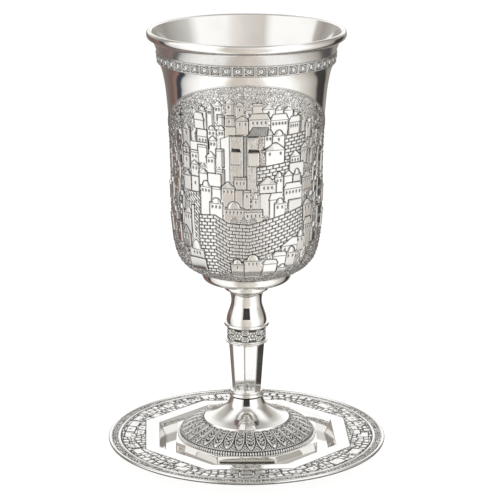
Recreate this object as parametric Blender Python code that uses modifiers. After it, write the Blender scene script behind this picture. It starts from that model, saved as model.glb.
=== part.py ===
"""A tall metal goblet with a city in relief round its bowl, standing in the well of its matching round plate.

Four castings, each a closed solid: the hollow bowl, the stem that carries it, the hollow foot, and the
plate. Lengths are written in millimetres and turned into metres by MM. The axis of the goblet is Z, the
plate stands on Z = 0, and -Y is the front of the relief.
"""

import math

import bmesh
import bpy
from mathutils import Matrix, Vector

MM = 0.001
GAP = 0.3  # clearance between two castings that touch

# Heights of the castings
CUP_TOP = 208.5
BOWL_FLOOR = 91.5
STEM_FOOT = 27.5
FOOT_SOLE = 1.3
WELL_FLOOR = 1.0

# Numbers of sides of the turned shapes
BOWL_STEPS = 40
STEM_STEPS = 24
FOOT_STEPS = 32
PLATE_STEPS = 48

# Octagons: distances from the axis to a flat side
SIDES = 8
SHAFT_TOP_CORNER = 8.7
SHAFT_FOOT_CORNER = 7.0
SHAFT_TOP = 54.9
SHAFT_FOOT = 30.4
SHAFT_TURN = -7.0  # degrees from the front to the nearest edge of the shaft
FOOT_FLAT = 34.4
FOOT_TOP = 7.9
LEDGE_FLAT = 49.5
WELL_MOUTH_FLAT = 43.0
WELL_FLOOR_FLAT = 39.85
PLATE_TURN = 2.4  # degrees that the loose plate is turned under the goblet

# Plate
PLATE_RADIUS = 67.9
PLATE_GROUND = 6.9
LEDGE_TOP = 7.35
SHEET = 1.2
LEDGE_ROOT = 0.45  # how deep the ledge is rooted in the sheet
PAN_TOP = 6.2
POCKET_OVER = 2.0  # how far the cutter of the well stands over the ledge
FLAT_ENOUGH = 1.0  # degrees between two faces that count as one

# Leaves round the dome of the foot
LEAVES = 34
LEAF_TURN = 3.9  # degrees from the front to the middle of the nearest leaf
LEAF_RISE = 0.6

# The relief round the bowl, on a sheet of degrees from the front by millimetres of height
ARCH_TOP = 189.6
ARCH_FALL = 0.0033  # the arch drops by this times the square of the angle
ARCH_END = 89.0
ARCH_PIECES = 15
RIM_WIDTH = 0.9
RIM_RISE = 0.4
SINK = 0.7  # how deep a block of the relief is rooted in the wall
HOUSE_RISE = 0.95
HOUSE_LEAN = 0.03  # a house stands out less towards its foot, by this for each millimetre
HOUSE_GAP = 0.25  # degrees left free at each side of a house
DOME_OUTLINE = ((0.55, 0.35), (0.0, 1.0), (-0.55, 0.35))  # shares of the half width and of the height
SMALLEST_BEHIND = 15.0  # degrees; narrower houses are left out of the plainer relief at the back

# The wider houses, from the far to the near: kind of roof (d dome, p pointed, h hipped, s slanting, b bare),
# left and right angle, and height of the foot, eaves and top. The narrower ones are too fine for the solid.
HOUSES = (
    ("h", -40.8, -31.3, 165.2, 171.7, 174.8), ("p", -7.1, 1.9, 166.4, 172.5, 174.6),
    ("h", 2.3, 15.9, 166.1, 173.2, 175.6), ("h", 17.1, 29.8, 163.3, 172.4, 175.0),
    ("h", 31.0, 45.9, 164.9, 170.6, 173.2), ("h", -42.8, -27.6, 158.2, 163.9, 167.0),
    ("d", 18.7, 28.0, 157.3, 164.8, 167.4), ("b", -43.8, -28.3, 154.4, 160.0, 160.8),
    ("p", 13.6, 27.9, 148.4, 158.1, 161.4), ("p", -29.8, -22.6, 144.3, 154.3, 156.8),
    ("p", 33.4, 42.2, 149.5, 154.0, 156.6), ("b", 32.7, 45.7, 144.2, 150.2, 150.8),
    ("p", 45.1, 56.0, 137.3, 143.0, 145.4), ("p", 9.5, 21.8, 136.8, 142.0, 145.2),
    ("h", 28.5, 44.4, 132.4, 138.8, 141.4), ("h", 17.0, 27.9, 125.3, 134.4, 137.4),
    ("p", -18.6, -8.6, 131.2, 139.8, 142.9), ("d", -35.5, -26.3, 124.2, 139.6, 142.8),
    ("b", 32.5, 44.6, 125.1, 132.6, 133.3), ("d", -26.0, -18.9, 123.7, 132.6, 135.0),
    ("d", -16.3, -1.9, 120.6, 130.4, 133.7), ("b", -1.5, 11.6, 120.9, 128.8, 129.9),
    ("p", 46.7, 56.1, 122.2, 129.7, 132.0), ("p", -52.8, -43.8, 116.2, 125.7, 128.5),
    ("h", 47.8, 56.3, 108.3, 119.8, 121.6), ("s", 27.1, 41.1, 106.4, 111.4, 114.9),
    ("d", -48.0, -33.9, 103.2, 108.9, 113.4), ("b", -49.3, -33.1, 98.5, 103.4, 104.4),
    ("d", 31.4, 40.7, 100.6, 107.8, 110.6), ("h", 20.5, 30.9, 101.2, 107.0, 108.8),
    ("h", 13.2, 24.4, 98.3, 103.3, 105.3), ("d", -1.9, 11.7, 96.7, 105.3, 108.2),
    ("d", -12.4, -2.3, 96.9, 103.5, 105.8),
)

# Cypresses down both sides, past the last houses: rows and their spacing, and the places along a row
TREE_ROWS = 5
TREE_TOP = 171.0
TREE_STEP = 14.8
TREE_FALL = 0.0018  # a row drops by this times the square of the angle
TREE_HEIGHT = 8.0
TREE_WIDTH = 6.0
TREE_ANGLES = (62.0, 73.0)
TREE_SHIFT = 4.5  # degrees between one row and the next
TREE_RISE = 0.6

# Walls of brick, folded like a screen: angle and height of the top and of the foot at each fold
CITY_WALL = ((-37.0, 126.0, 104.0), (-34.5, 126.1, 97.6), (-23.4, 126.8, 96.8), (-13.1, 123.2, 98.5),
             (1.8, 122.7, 100.0), (13.0, 124.4, 106.0), (28.5, 126.7, 111.2), (45.5, 129.2, 118.4))
WING = ((-47.4, 139.9, 131.0), (-42.0, 139.8, 112.0), (-36.1, 137.0, 107.0))
UPPER_WALL = ((8.6, 150.0, 141.6), (33.0, 151.8, 147.0))
EAST_WALL = ((28.5, 164.3, 150.3), (46.8, 164.6, 150.3))
WALL_RISE = 0.7
WALL_ROWS = 3
WIDEST_FOLD = 10.0  # degrees; a wider stretch of wall follows the bowl in shorter pieces

# The pair of towers in the middle: left and right angle, foot and top, and how far they stand out
TOWERS = (
    (-18.3, -12.0, 138.2, 164.3, 0.75), (-11.6, -2.3, 138.0, 165.4, 1.15), (0.6, 8.0, 138.0, 164.6, 1.15),
)
TOWER_LEAN = 0.01

# The ring of houses on the plate, roofs outwards: kind of roof and width of each, stretched to a full turn
PLATE_HOUSES = "p15 b12 d14 s13 h17 b13 d14 p13 b14 h16 d13 s14 b12 p15 d14 b13 h17 d14 p12 b14 s15 d14 b13"
PLATE_HOUSE_TOP = 60.2
PLATE_HOUSE_FOOT = 52.2
PLATE_ROOF = 1.9
PLATE_HOUSE_GAP = 0.4  # degrees left free at each side
PLATE_HOUSE_RISE = 0.55
PLATE_HOUSE_ROOT = 0.6
UNEVEN = (0.0, 0.9, -0.5, 0.4, -0.9, 0.7, -0.2)  # how far a house's top is moved, in turn


def polar(radius, degrees, height):
    """A point in metres, from a radius, an angle to the right of the front, and a height in millimetres."""
    angle = math.radians(degrees)
    return Vector((radius * math.sin(angle), -radius * math.cos(angle), height)) * MM


def oval(centre, across, up, first, last, count):
    """Points of an arc of an oval, by angle in degrees from the outward direction, counted upwards."""
    points = []
    for step in range(count):
        angle = math.radians(first + (last - first) * step / (count - 1))
        points.append((centre[0] + across * math.cos(angle), centre[1] + up * math.sin(angle)))
    return points


BOWL_INSIDE = [
    (0.0, 94.2), (20.0, 94.6), (27.0, 97.6), (31.5, 102.3), (33.9, 111.0), (35.3, 160.0), (37.4, 184.0),
    (40.4, 196.3), (43.0, 203.6), (44.7, 208.0),
]
LIP = oval((45.95, 206.55), 1.2, CUP_TOP - 206.55, 90.0, -90.0, 5)
BAND = [(42.0, 198.6), (42.75, 197.6), (42.75, 194.4), (41.35, 193.3)]
BOWL_WALL = [
    (40.5, 191.2), (38.9, 184.5), (37.8, 175.8), (37.1, 167.0), (36.4, 155.0), (35.7, 117.0),
    (34.4, 105.5), (32.4, 99.3), (29.1, 95.3), (25.0, 92.7), (22.3, 91.6),
]
BOWL_PROFILE = (BOWL_INSIDE + LIP + [(44.2, 204.1), (43.0, 200.8)] + BAND + BOWL_WALL
                + [(0.0, BOWL_FLOOR)])

STEM_TOP = BOWL_FLOOR - GAP - 0.1
CALYX = [
    (0.0, STEM_TOP), (20.8, STEM_TOP), (21.5, 89.4), (20.8, 87.4), (18.0, 86.0), (10.6, 85.2),
]
COLLAR = [(10.7, 84.5), (10.8, 82.3), (10.0, 81.5), (8.2, 80.0)]
VASE = [(7.5, 76.5), (7.9, 72.8), (9.1, 69.4), (9.75, 65.3)]
RING_ONE = [(10.4, 65.1), (10.85, 64.1), (10.3, 63.7)]
FRIEZE = [(9.2, 63.3), (9.2, 56.9)]
RING_TWO = [(9.9, 56.5), (10.3, 55.85), (9.7, 55.3)]
STEM_PROFILE = CALYX + COLLAR + VASE + RING_ONE + FRIEZE + RING_TWO + [(8.2, 54.6), (0.0, 54.3)]
ANKLET_PROFILE = (
    [(0.0, 31.6), (6.9, 31.2)]
    + oval((7.2, 30.2), 1.1, 0.75, 60.0, -60.0, 3)
    + [(8.1, 29.2), (8.45, 28.3), (7.9, 27.8), (7.4, STEM_FOOT), (0.0, STEM_FOOT)]
)

FLARE = [
    (0.0, STEM_FOOT - GAP), (7.7, STEM_FOOT - GAP), (8.3, 25.5), (9.1, 23.7), (11.0, 21.6), (15.0, 18.9),
    (20.8, 16.4), (21.2, 15.5),
]
FLARE_FOOT = 14.0
DOME = [(21.5, 15.3), (26.0, 14.1), (30.2, 12.0), (33.0, 9.1), (33.9, 7.4)]
FOOT_CAVITY = [
    (0.0, 21.0), (8.0, 17.8), (20.5, 14.2), (28.6, 10.6), (31.8, 6.4), (31.8, 0.5), (0.0, 0.5),
]

PLATE_PROFILE = [
    (0.0, PLATE_GROUND), (62.1, PLATE_GROUND), (62.4, 7.5), (63.0, 7.5), (63.3, PLATE_GROUND),
    (66.2, PLATE_GROUND), (66.6, 7.5), (67.4, 7.6), (PLATE_RADIUS, 6.9), (67.2, 6.0),
    (62.0, PLATE_GROUND - SHEET), (0.0, PLATE_GROUND - SHEET),
]

SILVER = (0.80, 0.785, 0.76, 1.0)


def clear_scene():
    """Empty the file of the objects and collections that Blender starts with."""
    for thing in list(bpy.data.objects):
        bpy.data.objects.remove(thing, do_unlink=True)
    for group in list(bpy.data.collections):
        bpy.data.collections.remove(group)


def new_collection(name, hidden):
    """A collection under the scene; hidden ones hold the shapes that Booleans use."""
    group = bpy.data.collections.new(name)
    group.hide_render = hidden
    bpy.context.scene.collection.children.link(group)
    return group


def metal(name, roughness):
    """Bright silvered metal of the given roughness."""
    material = bpy.data.materials.new(name)
    material.use_nodes = True
    shader = material.node_tree.nodes["Principled BSDF"]
    shader.inputs["Base Color"].default_value = SILVER
    shader.inputs["Metallic"].default_value = 1.0
    shader.inputs["Roughness"].default_value = roughness
    return material


def add_object(name, mesh, group):
    """Link a mesh into the scene; helper shapes are drawn as wires and left out of renders."""
    thing = bpy.data.objects.new(name, mesh)
    group.objects.link(thing)
    if group.hide_render:
        thing.hide_render = True
        thing.display_type = "WIRE"
    return thing


def turned(name, profile, steps, group):
    """A profile of radius and height, in order from the axis down the outer side, turned round Z."""
    mesh = bpy.data.meshes.new(name)
    points = [(radius * MM, 0.0, height * MM) for radius, height in profile]
    edges = [(index, index + 1) for index in range(len(points) - 1)]
    mesh.from_pydata(points, edges, [])
    thing = add_object(name, mesh, group)
    screw = thing.modifiers.new("turn", "SCREW")
    screw.steps = steps
    screw.render_steps = steps
    screw.use_merge_vertices = True
    screw.merge_threshold = 0.00001
    screw.use_normal_calculate = False
    return thing


def octagonal(name, top_flat, top, foot_flat, foot, turn, group):
    """An eight-sided block, tapered, by the distance from its axis to a flat at its top and foot.

    Unturned, one flat faces the front.
    """
    mesh = bpy.data.meshes.new(name)
    bm = bmesh.new()
    corner = MM / math.cos(math.pi / SIDES)
    bmesh.ops.create_cone(
        bm,
        cap_ends=True,
        segments=SIDES,
        radius1=foot_flat * corner,
        radius2=top_flat * corner,
        depth=(top - foot) * MM,
        matrix=Matrix.Translation((0.0, 0.0, (top + foot) / 2.0 * MM)),
    )
    to_flat = Matrix.Rotation(math.pi / SIDES + math.radians(turn), 3, "Z")
    bmesh.ops.rotate(bm, cent=(0.0, 0.0, 0.0), matrix=to_flat, verts=bm.verts)
    bm.to_mesh(mesh)
    bm.free()
    return add_object(name, mesh, group)


def add_boolean(thing, operation, other):
    """Join or cut an object with another, or with every object of a collection."""
    modifier = thing.modifiers.new(operation.lower() + " " + other.name, "BOOLEAN")
    modifier.operation = operation
    modifier.solver = "EXACT"
    if isinstance(other, bpy.types.Collection):
        modifier.operand_type = "COLLECTION"
        modifier.collection = other
    else:
        modifier.object = other


def dissolve_flat(thing):
    """Let each flat face be one face again after the Booleans."""
    modifier = thing.modifiers.new("flat faces", "DECIMATE")
    modifier.decimate_type = "DISSOLVE"
    modifier.angle_limit = math.radians(FLAT_ENOUGH)


def along(points, height):
    """Radius of a profile of falling heights at one height."""
    for (upper_radius, upper), (lower_radius, lower) in zip(points, points[1:]):
        if lower <= height <= upper:
            share = (upper - height) / (upper - lower)
            return upper_radius + share * (lower_radius - upper_radius)
    return points[-1][0]


def house_outline(kind, half, foot, eaves, top):
    """Corners of a house seen from the front, counted against the clock: offset in degrees, and height."""
    base = [(-half, foot), (half, foot)]
    if kind == "p":
        return base + [(half, eaves), (0.0, top), (-half, eaves)]
    if kind == "h":
        return base + [(half, eaves), (half * 0.75, top), (-half * 0.75, top), (-half, eaves)]
    if kind == "s":
        return base + [(half, top), (half * 0.4, top), (-half, eaves)]
    if kind == "d":
        crown = [(half * across, eaves + (top - eaves) * up) for across, up in DOME_OUTLINE]
        return base + [(half, eaves)] + crown + [(-half, eaves)]
    if kind == "t":
        right = [(half * 0.6, foot), (half, eaves), (half * 0.4, top)]
        return right + [(-across, height) for across, height in reversed(right)]
    return base + [(half, top), (-half, top)]


def block(name, outline, inner, outer, group):
    """An outline of points on the sheet, pulled out of the surface between two shapes of radius."""
    bm = bmesh.new()
    back = [bm.verts.new(inner(angle, height)) for angle, height in outline]
    face = bm.faces.new(back)
    made = bmesh.ops.extrude_face_region(bm, geom=[face])
    front = [item for item in made["geom"] if isinstance(item, bmesh.types.BMVert)]
    places = {tuple(vertex.co): index for index, vertex in enumerate(back)}
    for vertex in front:
        angle, height = outline[places[tuple(vertex.co)]]
        vertex.co = outer(angle, height)
    bmesh.ops.recalc_face_normals(bm, faces=bm.faces)
    bmesh.ops.triangulate(bm, faces=bm.faces)
    mesh = bpy.data.meshes.new(name)
    bm.to_mesh(mesh)
    bm.free()
    return add_object(name, mesh, group)


def bowl_block(name, outline, middle, rise, lean, top, turn, group):
    """A block of the relief on the bowl; its face leans back towards its foot."""

    def root(angle, height):
        return polar(along(BOWL_WALL, height) - SINK, middle + angle + turn, height)

    def face(angle, height):
        radius = along(BOWL_WALL, height) + rise - lean * (top - height)
        return polar(radius, middle + angle + turn, height)

    return block(name, outline, root, face, group)


def add_houses(smallest, turn, group):
    """The wider houses, each rooted in the bowl."""
    for kind, left, right, foot, eaves, top in HOUSES:
        if right - left < smallest:
            continue
        half = (right - left) / 2.0
        outline = house_outline(kind, half - HOUSE_GAP, foot, eaves, top)
        bowl_block("house", outline, left + half, HOUSE_RISE, HOUSE_LEAN, top, turn, group)


def add_trees(group):
    """Rows of cypresses down both sides, each row shifted against the last."""
    for row in range(TREE_ROWS):
        for angle in TREE_ANGLES:
            away = angle + TREE_SHIFT * (row % 2)
            top = TREE_TOP - TREE_STEP * row - TREE_FALL * away * away
            outline = house_outline("t", TREE_WIDTH / 2.0, top - TREE_HEIGHT, top - TREE_HEIGHT / 2.0, top)
            for middle in (-away, away):
                bowl_block("tree", outline, middle, TREE_RISE, HOUSE_LEAN, top, 0.0, group)


def ribbon(name, sections, group):
    """A closed strip through a row of sections, each a ring of the same number of points."""
    bm = bmesh.new()
    rings = [[bm.verts.new(point) for point in section] for section in sections]
    for ring, following in zip(rings, rings[1:]):
        for index in range(len(ring)):
            after = (index + 1) % len(ring)
            bm.faces.new((ring[index], ring[after], following[after], following[index]))
    bm.faces.new(rings[0])
    bm.faces.new(list(reversed(rings[-1])))
    bmesh.ops.recalc_face_normals(bm, faces=bm.faces)
    bmesh.ops.triangulate(bm, faces=bm.faces)
    mesh = bpy.data.meshes.new(name)
    bm.to_mesh(mesh)
    bm.free()
    add_object(name, mesh, group)


def strip_section(angle, top, foot, rise, rows):
    """A ring of points round a strip of relief at one angle: down its face, and up its root in the bowl."""
    heights = [top + (foot - top) * row / (rows - 1) for row in range(rows)]
    face = [polar(along(BOWL_WALL, height) + rise, angle, height) for height in heights]
    root = [polar(along(BOWL_WALL, height) - SINK, angle, height) for height in reversed(heights)]
    return face + root


def finer(folds):
    """The same folds, with more put between two that are far apart."""
    made = [folds[0]]
    for before, after in zip(folds, folds[1:]):
        pieces = math.ceil((after[0] - before[0]) / WIDEST_FOLD)
        for piece in range(1, pieces + 1):
            made.append(tuple(start + (end - start) * piece / pieces for start, end in zip(before, after)))
    return made


def add_wall(folds, turn, group):
    """A folded wall of brick as one strip."""
    sections = []
    for angle, top, foot in finer(folds):
        sections.append(strip_section(angle + turn, top, foot, WALL_RISE, WALL_ROWS))
    ribbon("wall", sections, group)


def add_towers(turn, group):
    """The twin towers and the side of the left one."""
    for left, right, foot, top, rise in TOWERS:
        half = (right - left) / 2.0
        outline = [(-half, foot), (half, foot), (half, top), (-half, top)]
        bowl_block("tower", outline, left + half, rise, TOWER_LEAN, top, turn, group)


def add_arch(turn, group):
    """The thin raised line that frames the relief."""
    sections = []
    for step in range(ARCH_PIECES + 1):
        angle = ARCH_END * (2.0 * step / ARCH_PIECES - 1.0)
        height = ARCH_TOP - ARCH_FALL * angle * angle
        sections.append(strip_section(angle + turn, height, height - RIM_WIDTH, RIM_RISE, 2))
    ribbon("arch", sections, group)


def make_bowl(group, reliefs):
    """The hollow bowl, with the city in relief at the front and a plainer one at the back."""
    bowl = turned("bowl", BOWL_PROFILE, BOWL_STEPS, group)
    add_trees(reliefs)
    for turn, smallest in ((0.0, 0.0), (180.0, SMALLEST_BEHIND)):
        add_arch(turn, reliefs)
        add_houses(smallest, turn, reliefs)
        add_towers(turn, reliefs)
        for wall in (EAST_WALL, UPPER_WALL, WING, CITY_WALL):
            add_wall(wall, turn, reliefs)
    add_boolean(bowl, "UNION", reliefs)
    dissolve_flat(bowl)
    return bowl


def make_stem(group, helpers):
    """Calyx, vase and frieze, an eight-sided shaft, and the ring at its foot, cast in one."""
    stem = turned("stem", STEM_PROFILE, STEM_STEPS, group)
    flat = math.cos(math.pi / SIDES)
    turn = SHAFT_TURN + 180.0 / SIDES
    shaft = octagonal(
        "shaft", SHAFT_TOP_CORNER * flat, SHAFT_TOP, SHAFT_FOOT_CORNER * flat, SHAFT_FOOT, turn, helpers)
    anklet = turned("anklet", ANKLET_PROFILE, STEM_STEPS, helpers)
    add_boolean(stem, "UNION", shaft)
    add_boolean(stem, "UNION", anklet)
    dissolve_flat(stem)
    return stem


def leafy_dome(name, group):
    """The dome of the foot: rings of points whose radius rises along each leaf and falls between two."""
    steps = 2 * LEAVES
    bm = bmesh.new()
    rings = []
    for place, (radius, height) in enumerate(DOME):
        swell = LEAF_RISE * math.sin(math.pi * place / (len(DOME) - 1))
        ring = []
        for step in range(steps):
            out = radius + (swell if step % 2 == 0 else -swell * 0.5)
            ring.append(bm.verts.new(polar(out, LEAF_TURN + 360.0 * step / steps, height)))
        rings.append(ring)
    for ring, following in zip(rings, rings[1:]):
        for index in range(steps):
            after = (index + 1) % steps
            bm.faces.new((ring[index], following[index], following[after], ring[after]))
    bm.faces.new(rings[0])
    bm.faces.new(list(reversed(rings[-1])))
    bmesh.ops.recalc_face_normals(bm, faces=bm.faces)
    bmesh.ops.triangulate(bm, faces=[face for face in bm.faces if len(face.verts) == 4])
    mesh = bpy.data.meshes.new(name)
    bm.to_mesh(mesh)
    bm.free()
    return add_object(name, mesh, group)


def make_foot(group, helpers):
    """The flared neck, the leafy dome and the eight-sided base, hollow from below."""
    profile = FLARE + [(FLARE[-1][0], FLARE_FOOT), (0.0, FLARE_FOOT)]
    foot = turned("foot", profile, FOOT_STEPS, group)
    dome = leafy_dome("dome", helpers)
    base = octagonal("base", FOOT_FLAT, FOOT_TOP, FOOT_FLAT, FOOT_SOLE, 0.0, helpers)
    cavity = turned("cavity", FOOT_CAVITY, FOOT_STEPS, helpers)
    add_boolean(foot, "UNION", dome)
    add_boolean(foot, "UNION", base)
    add_boolean(foot, "DIFFERENCE", cavity)
    dissolve_flat(foot)
    return foot


def add_plate_houses(group):
    """A ring of small houses on the plate, their roofs towards the rim."""
    houses = [(word[0], float(word[1:])) for word in PLATE_HOUSES.split()]
    stretch = 360.0 / sum(width for kind, width in houses)
    angle = PLATE_TURN
    for place, (kind, width) in enumerate(houses):
        span = width * stretch
        middle = angle + span / 2.0
        angle += span
        top = PLATE_HOUSE_TOP + UNEVEN[place % len(UNEVEN)]
        foot = PLATE_HOUSE_FOOT + abs(UNEVEN[(place + 3) % len(UNEVEN)])
        outline = house_outline(kind, span / 2.0 - PLATE_HOUSE_GAP, foot, top - PLATE_ROOF, top)

        def root(offset, radius):
            return polar(radius, middle + offset, PLATE_GROUND - PLATE_HOUSE_ROOT)

        def face(offset, radius):
            return polar(radius, middle + offset, PLATE_GROUND + PLATE_HOUSE_RISE)

        block("plate house", outline, root, face, group)


def make_plate(group, helpers, houses):
    """The plate: a turned rim, a flat eight-sided ledge, and the well the foot stands in."""
    plate = turned("plate", PLATE_PROFILE, PLATE_STEPS, group)
    slope = (WELL_MOUTH_FLAT - WELL_FLOOR_FLAT) / (LEDGE_TOP - WELL_FLOOR)
    ledge = octagonal(
        "ledge", LEDGE_FLAT, LEDGE_TOP, LEDGE_FLAT, PLATE_GROUND - LEDGE_ROOT, PLATE_TURN, helpers)
    pan_foot = WELL_FLOOR_FLAT + SHEET - slope * WELL_FLOOR
    pan = octagonal("pan", pan_foot + slope * PAN_TOP, PAN_TOP, pan_foot, 0.0, PLATE_TURN, helpers)
    pocket_flat = WELL_MOUTH_FLAT + slope * POCKET_OVER
    pocket = octagonal(
        "pocket", pocket_flat, LEDGE_TOP + POCKET_OVER, WELL_FLOOR_FLAT, WELL_FLOOR, PLATE_TURN, helpers)
    add_plate_houses(houses)
    add_boolean(plate, "UNION", houses)
    add_boolean(plate, "UNION", ledge)
    add_boolean(plate, "UNION", pan)
    add_boolean(plate, "DIFFERENCE", pocket)
    dissolve_flat(plate)
    return plate


def main():
    """Build the four castings."""
    clear_scene()
    goblet = new_collection("goblet", False)
    helpers = new_collection("helpers", True)
    reliefs = new_collection("city relief", True)
    plate_houses = new_collection("plate relief", True)
    parts = (
        (make_bowl(goblet, reliefs), metal("bowl silver", 0.16)),
        (make_stem(goblet, helpers), metal("stem silver", 0.10)),
        (make_foot(goblet, helpers), metal("foot silver", 0.16)),
        (make_plate(goblet, helpers, plate_houses), metal("plate silver", 0.14)),
    )
    for part, material in parts:
        part.data.materials.append(material)


main()
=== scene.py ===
"""Looks of a tall silvered goblet with a walled hill town in relief, standing in the well of its round plate.

Lengths are written in millimetres and turned into metres where a mesh is filled. Angles are in degrees to the
right of the front, which faces -Y. Every surface is a grid: its rows follow a profile from the axis over the
top and down the outside, and its columns go round. Relief is a field over such a grid, which says for each
point how far it stands out, how dark the metal is, and how coarse its grain is.
"""

import copy
import functools
import math

import bpy
import numpy as np
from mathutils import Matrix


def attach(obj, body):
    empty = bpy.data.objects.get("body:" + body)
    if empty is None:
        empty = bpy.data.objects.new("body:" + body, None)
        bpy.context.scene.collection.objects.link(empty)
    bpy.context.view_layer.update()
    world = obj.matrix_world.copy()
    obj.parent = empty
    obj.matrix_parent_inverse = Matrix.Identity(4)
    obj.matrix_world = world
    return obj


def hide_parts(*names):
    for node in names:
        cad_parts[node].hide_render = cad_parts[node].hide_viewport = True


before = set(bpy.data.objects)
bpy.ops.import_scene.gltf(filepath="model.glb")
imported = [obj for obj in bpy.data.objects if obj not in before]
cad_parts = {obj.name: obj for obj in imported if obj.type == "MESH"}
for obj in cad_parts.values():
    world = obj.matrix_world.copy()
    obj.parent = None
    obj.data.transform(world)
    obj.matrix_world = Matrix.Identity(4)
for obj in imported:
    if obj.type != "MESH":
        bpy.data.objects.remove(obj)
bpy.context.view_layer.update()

MM = 0.001

# -------- sizes of the castings

CUP_TOP = 208.5
CUP_INSIDE = ((0.0, 94.2), (12.0, 94.3), (20.0, 94.8), (27.0, 97.6), (31.5, 102.3), (33.9, 111.0), (34.7, 135.0),
              (35.3, 160.0), (37.4, 184.0), (40.4, 196.3), (43.0, 203.6), (44.6, 207.9))
LIP_CENTRE = (45.95, 206.55)
LIP_OUT = 1.2
UNDER_LIP = ((45.5, 204.55), (44.5, 203.9), (43.6, 202.2), (42.9, 200.4), (42.3, 198.5))
BAND_TOP = (42.1, 198.55)
BAND_FOOT = (41.5, 193.35)
BOWL_WALL = ((41.4, 193.3), (40.5, 191.2), (38.9, 184.5), (37.8, 175.8), (37.1, 167.0), (36.4, 155.0),
             (35.9, 136.0), (35.7, 117.0), (34.4, 105.5), (32.4, 99.3), (29.1, 95.3), (25.0, 92.7), (22.3, 91.6))

CALYX = ((20.6, 91.1), (21.2, 91.0), (21.45, 90.6), (21.5, 89.8), (21.4, 88.6), (20.8, 87.4), (19.4, 86.4),
         (17.3, 85.8), (14.5, 85.4), (11.2, 85.2))
VASE = ((10.7, 84.4), (10.78, 83.3), (10.74, 82.3), (10.5, 81.8), (9.9, 81.5), (9.0, 81.0), (8.3, 80.2),
        (7.9, 79.2), (7.6, 78.0), (7.45, 76.8), (7.43, 75.6), (7.6, 74.3), (8.0, 72.8), (8.6, 71.0), (9.2, 69.2),
        (9.6, 67.6), (9.75, 66.3), (9.7, 65.25))
RING_ONE = ((9.72, 65.1), (10.2, 64.97), (10.55, 64.8), (10.65, 64.6), (10.76, 64.3), (10.88, 63.98), (10.78, 63.8),
            (10.2, 63.75), (9.3, 63.8))
FRIEZE = (9.2, 63.5, 56.4)  # radius, top and foot
RING_TWO = ((9.25, 56.35), (9.9, 56.25), (10.25, 56.05), (10.33, 55.85), (10.1, 55.5), (9.5, 55.15), (8.75, 54.9))
SHAFT = (8.7, 54.4, 7.0, 31.0)  # corner radius and height at the top and at the foot
SHAFT_TURN = -7.0
ANKLET = (7.2, 30.2, 1.1, 0.75)  # centre, and how far out and up it swells
ANKLET_CUFF = ((7.8, 29.4), (8.1, 29.2), (8.45, 28.3), (8.38, 28.05), (7.9, 27.8), (7.5, 27.6))
STEM_FOOT = 27.5

FLARE = ((7.7, 27.2), (7.98, 26.4), (8.3, 25.55), (8.66, 24.65), (9.03, 23.8), (9.55, 23.0), (10.35, 22.2),
         (11.6, 21.2), (13.2, 20.1), (15.2, 18.85), (17.7, 17.6), (20.5, 16.5))
FLARE_EDGE = ((20.8, 16.42), (20.9, 16.28), (21.2, 15.5), (21.2, 15.2), (20.9, 15.0))
DOME = ((21.3, 15.35), (23.5, 14.9), (26.5, 14.0), (29.3, 12.55), (31.5, 10.8), (33.0, 9.1), (33.9, 7.6))
FOOT_FLAT = 34.4
FOOT_TOP = 7.9
FOOT_SOLE = 1.3
FOOT_CAVITY = ((31.8, 1.3), (31.8, 6.4), (28.6, 10.6), (20.5, 14.2), (8.0, 17.8), (0.0, 21.0))

PLATE_TURN = 2.4
WELL_FLOOR = 1.0
WELL_FLOOR_FLAT = 39.85
WELL_MOUTH_FLAT = 43.0
LEDGE_FLAT = 49.5
LEDGE_TOP = 7.35
PLATE_GROUND = 6.9
SHEET = 1.2
PLATE_RIM = ((66.2, 6.9), (66.35, 7.3), (66.8, 7.58), (67.3, 7.6), (67.7, 7.35), (67.9, 6.9), (67.75, 6.4),
             (67.2, 6.0))
RIM_UNDERSIDE = ((67.2, 6.0), (66.0, 5.82), (62.0, 5.7), (56.5, 5.7))
POLISHED_RING = 62.60  # radius of its middle
WOVEN_BAND = 64.85

LEAVES = 34
BEADS = 160
SQUARES = 50
BAND_TURN = 1.7
LEAF_TURN = 3.9

# -------- the town, on a sheet of degrees by height

# The sheets of relief round the bowl: name, angle of the far side, how far they are turned, columns and rows
TOWN_SHEETS = (("town_front_left", -90.0, 0.0, 240, 380), ("town_front_right", 90.0, 0.0, 250, 380),
               ("town_back_left", -90.0, 180.0, 128, 270), ("town_back_right", 90.0, 180.0, 134, 270))
BOWL_RADIUS = 36.5
ARCH_TOP = 189.6
ARCH_FALL = 0.0033
RIM_WIDTH = 0.9
HOUSE_RISE = 0.95
HOUSE_LEAN = 0.03
GROUND_HEIGHT = 96.5
GROUND_RISE = 0.0022
ACROSS = 0.63  # millimetres for each degree round the bowl
OUTSKIRTS_STEP = 7.4
OUTSKIRTS_SHIFT = 4.5  # degrees between one pair of rows and the next

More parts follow.
